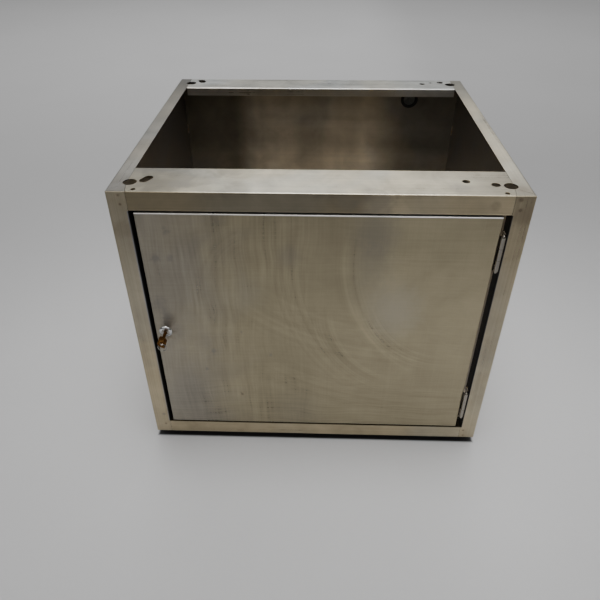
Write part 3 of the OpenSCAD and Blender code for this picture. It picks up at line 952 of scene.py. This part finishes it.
def grommet_flaps():
    """The grommet's thin slit diaphragm: soft flaps that a cable pushes aside. Its dark sheet is
    painted shade, put in the hole in place of the shade behind it.
    """
    bm = bmesh.new()
    flaps, rings, fans, slit, thick = 6, 7, 8, 0.03, 0.7
    tip, rim, sag = 0.2, 12.3, 0.9
    for flap in range(flaps):
        middle = TAU * (flap + 0.5) / flaps
        grid = []
        for side in (0, 1):
            rows = []
            for i in range(rings + 1):
                radius = tip + (rim - tip) * i / rings
                half = math.pi / flaps - slit / radius
                rise = sag * (1 - (radius / rim) ** 2)
                row = []
                for j in range(fans + 1):
                    angle = middle + half * (2 * j / fans - 1)
                    height = sag - rise + side * thick
                    spot = (radius * math.cos(angle), radius * math.sin(angle), height)
                    row.append(bm.verts.new(Vector(spot) * MM))
                rows.append(row)
            grid.append(rows)
        for i in range(rings):
            for j in range(fans):
                for rows in grid:
                    bm.faces.new((rows[i][j], rows[i][j + 1], rows[i + 1][j + 1], rows[i + 1][j]))
        front, rear = grid
        border = [(i, 0) for i in range(rings + 1)] + [(rings, j) for j in range(1, fans + 1)]
        border += [(i, fans) for i in range(rings - 1, -1, -1)]
        border += [(0, j) for j in range(fans - 1, 0, -1)]
        for (i, j), (k, m) in zip(border, border[1:] + border[:1]):
            bm.faces.new((front[i][j], front[k][m], rear[k][m], rear[i][j]))
    return bm


# ---- Feet and welds ----

FOOT_X, FOOT_NEAR, FOOT_FAR = 262, 50, 500
FEET = {
    "front_left": (-FOOT_X, FOOT_NEAR),
    "front_right": (FOOT_X, FOOT_NEAR),
    "rear_left": (-FOOT_X, FOOT_FAR),
    "rear_right": (FOOT_X, FOOT_FAR),
}


def at_foot(x, depth):
    """Places a part made about Z, from the floor up, at a foot."""
    return Matrix.Translation(spot_at(x, depth, -BODY_LOW / MM))


def foot_stud():
    """A threaded stud with a chamfer at each end."""
    crest, low, high = 5.0, 4.6, 37.2
    profile = [(0, 4.0), (4.3, 4.0)] + rows_between(crest, low, high, 0.19) + [(4.3, 38.0), (0, 38.0)]
    bm = bmesh.new()
    turned(bm, profile, 36, shape=screw_thread(crest, 0.62, 1.5, low, high))
    return bm


def foot_pad():
    """Moulded pad: notched rim, ribs up to its boss, and the stud's socket."""
    rim, boss, ribs, notches = 20.0, 9.0, 8, 24
    profile = [(0, 0.5), (15.5, 0.5), (16.2, 0), (19.3, 0), (rim, 0.5), (rim, 2.4), (19.4, 3.0)]
    profile += [(18.6, 3.1), (16.5, 3.6), (14.0, 4.3), (11.5, 5.2), (9.8, 5.9), (boss + 0.2, 6.4)]
    profile += [(boss, 7.4), (8.5, 8.0), (5.3, 8.0), (5.02, 7.7), (5.02, 4.0), (0, 3.98)]

    def shape(angle, radius, height):
        if radius >= 19.3 and height > 0:
            radius -= 0.28 * (1 + math.cos(notches * angle))
        if 9.5 < radius < 19 and height > 3.0:
            crest = max(0.0, math.cos(ribs * angle)) ** 6
            height += crest * min(1.3, 7.6 - height)
        return radius, height

    bm = bmesh.new()
    turned(bm, profile, 144, shape=shape)
    return bm


def weld_nuts():
    """The nuts on the foot plates, chamfered on their upper corners."""
    corner, bore, low, high = 9.8, 5.05, 16.5, 24.5
    profile = [(bore + 0.4, low)] + [(corner, height) for height in (low, 23.0, 23.4, 23.8, 24.2)]
    profile += [(corner * 0.86, high), (bore + 0.6, high), (bore, high - 0.6), (bore, low + 0.4)]
    shape = hex_nut_shape(bore, corner, 22.9, 0.95)
    bm = bmesh.new()
    for x, depth in FEET.values():
        turned(bm, profile, 72, closed=True, shape=shape, place=at_foot(x, depth))
    return bm


HINGE_MIDDLES = (88, 406)
HINGE_HALF = 29.0


def hinge_welds(x):
    """Beads across both ends of each hinge leaf, at this distance from the centre line."""
    bm = bmesh.new()
    for middle in HINGE_MIDDLES:
        for end in (-1, 1):
            up = middle + end * (HINGE_HALF + 0.5)
            weld_bead(bm, spot_at(x, 5.0, up), spot_at(x, 16.5, up), 1.0)
    return bm


def frame_welds():
    """Beads beside the foot plates, up the back panel's edges and under the front top corners."""
    bm = bmesh.new()
    for side in (-1, 1):
        plate_x, back_x, corner_x = side * 276.6, side * 297.4, side * 275.2
        for depth in (FOOT_NEAR, FOOT_FAR):
            for start in (depth - 18, depth + 4):
                weld_bead(bm, spot_at(plate_x, start, 1.3), spot_at(plate_x, start + 14, 1.3), 1.2)
        for up in (120, 250, 380):
            weld_bead(bm, spot_at(back_x, 546.6, up), spot_at(back_x, 546.6, up + 22), 1.3)
        weld_bead(bm, spot_at(corner_x, 3.2, 497.9), spot_at(corner_x, 17.0, 497.9), 1.1)
    return bm


def heat_tinted_weld():
    """Weld metal: straw, brown and blue bands over bright steel."""
    g = Graph("weld_metal")
    tint = g.noise(g.point, 320.0, 3.0, 0.6, 0.8)
    colour = g.mix(g.step(tint, 0.40, 0.52), rgb(0.52, 0.49, 0.43), rgb(0.40, 0.29, 0.15))
    colour = g.mix(g.step(tint, 0.54, 0.66), colour, rgb(0.16, 0.17, 0.26))
    roughness = g.add(0.34, g.times(tint, 0.2))
    normal = g.bump(g.noise(g.point, 1500.0, 2.0), 0.00005)
    return g.finish(colour, roughness, normal, metallic=1.0)


def make_lock_pieces(zinc):
    """The lock, what turns with its plug, and its key."""
    chrome = chrome_shaded_below()
    at_cam = Matrix.Translation(LOCK + Vector((0, 24.5 * MM, 0))) @ BACKWARDS
    at_key = Matrix.Translation(LOCK) @ Matrix.Rotation(KEY_TURN, 4, "Y")
    add_piece("lock_housing_threaded", lock_head(), "door", chrome, AT_LOCK, ["lock_housing"])
    add_piece("lock_nut_chamfered", lock_nut(), "door", zinc, AT_LOCK, ["lock_nut"])
    add_piece("lock_cam_stamped", lock_cam(), "lock_barrel", zinc, at_cam, ["lock_cam"])
    add_piece("cam_screw_button", cam_screw(), "lock_barrel", zinc, AT_LOCK, ["cam_screw"])
    add_piece("key_cut", cut_key(), "key", tarnished_brass(), at_key, ["key"])


def make_rubber_pieces():
    """The door's stops and the cable grommet."""
    rubber = soft_black("rubber", (0.009, 0.009, 0.009), 0.66)
    flaps = soft_black("thin_rubber", (0.105, 0.108, 0.102), 0.80)
    at_hole = Matrix.Translation(spot_at(195, 546.8, 460.5)) @ BACKWARDS
    add_piece("stop_buttons", stop_buttons(), "cabinet", rubber, None, ["door_bumpers"])
    add_piece("grommet_ring", grommet_ring(), "cabinet", rubber, at_hole, ["cable_grommet"])
    add_piece("grommet_flaps", grommet_flaps(), "cabinet", flaps, at_hole, ())


def make_welds():
    weld = heat_tinted_weld()
    add_piece("frame_welds", frame_welds(), "cabinet", weld, None, ())
    add_piece("hinge_welds_frame", hinge_welds(271.2), "cabinet", weld, None, ())
    add_piece("hinge_welds_door", hinge_welds(262.3), "door", weld, None, ())


def make_feet():
    """A stud and a pad for each foot."""
    thread = plain_metal("zinc_thread", (0.46, 0.47, 0.49), 0.30)
    plastic = soft_black("plastic", (0.022, 0.022, 0.023), 0.45)
    for name, (x, depth) in FEET.items():
        body, place = "foot_" + name, at_foot(x, depth)
        stud, pad = "foot_stud_" + name, "foot_pad_" + name
        add_piece("stud_" + name, foot_stud(), body, thread, place, [stud])
        add_piece("pad_" + name, foot_pad(), body, plastic, place, [pad])


def make_pieces():
    zinc = plain_metal("zinc", (0.50, 0.51, 0.53), 0.34)
    make_lock_pieces(zinc)
    make_rubber_pieces()
    add_piece("foot_weld_nuts", weld_nuts(), "cabinet", zinc, None, ["foot_nuts"])
    make_welds()
    make_feet()


# ---- Stage ----

FLOOR_HALF = 9.0


def make_floor():
    bm = bmesh.new()
    bmesh.ops.create_grid(bm, x_segments=24, y_segments=24, size=FLOOR_HALF)
    mesh = bpy.data.meshes.new("floor")
    bm.to_mesh(mesh)
    bm.free()
    floor = bpy.data.objects.new("floor", mesh)
    floor.data.materials.append(concrete())
    bpy.context.scene.collection.objects.link(floor)


def area_light(name, place, target, width, depth, watts, spread=180.0):
    """A white lamp of this width and depth in metres. spread is in degrees."""
    data = bpy.data.lights.new(name, "AREA")
    data.shape = "RECTANGLE"
    data.size = width
    data.size_y = depth
    data.energy = watts
    data.spread = math.radians(spread)
    lamp = bpy.data.objects.new(name, data)
    lamp.location = place
    direction = Vector(target) - Vector(place)
    lamp.rotation_euler = direction.to_track_quat("-Z", "Y").to_euler()
    bpy.context.scene.collection.objects.link(lamp)


WORLD_FRONT = 0.16
WORLD_BACK = 0.60
WORLD_LOW = 0.42
WORLD_GLOW = 0.9


def world_ramp(tree, value, low, high, bottom, top):
    """Goes smoothly from bottom to top as value goes from low to high."""
    ramp = tree.nodes.new("ShaderNodeMapRange")
    ramp.interpolation_type = "SMOOTHSTEP"
    tree.links.new(value, ramp.inputs["Value"])
    ramp.inputs["From Min"].default_value = low
    ramp.inputs["From Max"].default_value = high
    ramp.inputs["To Min"].default_value = bottom
    ramp.inputs["To Max"].default_value = top
    return ramp.outputs[0]


def make_world():
    """A pale studio: bright behind the cabinet, as from a white wall, and dim in front."""
    world = bpy.data.worlds.new("studio")
    bpy.context.scene.world = world
    world.use_nodes = True
    tree = world.node_tree
    tree.nodes.clear()
    coords = tree.nodes.new("ShaderNodeTexCoord")
    parts = tree.nodes.new("ShaderNodeSeparateXYZ")
    tree.links.new(coords.outputs["Generated"], parts.inputs[0])
    back = world_ramp(tree, parts.outputs[1], -0.1, 0.7, WORLD_FRONT, WORLD_BACK)
    glow = world_ramp(tree, parts.outputs[2], 0.28, 0.55, 0.0, WORLD_GLOW)
    front = world_ramp(tree, parts.outputs[1], -0.25, -0.50, 0.0, 1.0)
    rise = world_ramp(tree, parts.outputs[2], 0.12, 0.50, WORLD_LOW, 1.0)
    product = tree.nodes.new("ShaderNodeMath")
    product.operation = "MULTIPLY"
    tree.links.new(back, product.inputs[0])
    tree.links.new(rise, product.inputs[1])
    lamp = tree.nodes.new("ShaderNodeMath")
    lamp.operation = "MULTIPLY_ADD"
    tree.links.new(glow, lamp.inputs[0])
    tree.links.new(front, lamp.inputs[1])
    tree.links.new(product.outputs[0], lamp.inputs[2])
    background = tree.nodes.new("ShaderNodeBackground")
    background.inputs["Color"].default_value = (1.0, 0.995, 0.985, 1.0)
    tree.links.new(lamp.outputs[0], background.inputs["Strength"])
    output = tree.nodes.new("ShaderNodeOutputWorld")
    tree.links.new(background.outputs[0], output.inputs["Surface"])


def make_camera():
    """The viewpoint, on a 36 mm sensor. pitch, yaw and roll are in radians."""
    data = bpy.data.cameras.new("camera")
    data.sensor_width = 36.0
    data.lens = 34.472
    camera = bpy.data.objects.new("camera", data)
    pitch, yaw, roll = 0.637137, 0.0337837, -0.0033856
    turn = Matrix.Rotation(yaw, 4, "Z") @ Matrix.Rotation(math.pi / 2 - pitch, 4, "X")
    turn = turn @ Matrix.Rotation(roll, 4, "Z")
    camera.matrix_world = Matrix.Translation(spot_at(-1.714, -726.5, 854.5)) @ turn
    bpy.context.scene.collection.objects.link(camera)
    bpy.context.scene.camera = camera


make_camera()
make_world()
area_light("ceiling", (0.20, -0.22, 2.3), (0.20, -0.22, 0.0), 1.9, 0.9, 6.2, spread=50.0)
area_light("ceiling_behind", (0.0, 2.9, 2.7), (0.0, 2.5, 0.0), 4.5, 2.4, 70.0)
make_floor()
finish_frame()
make_pieces()
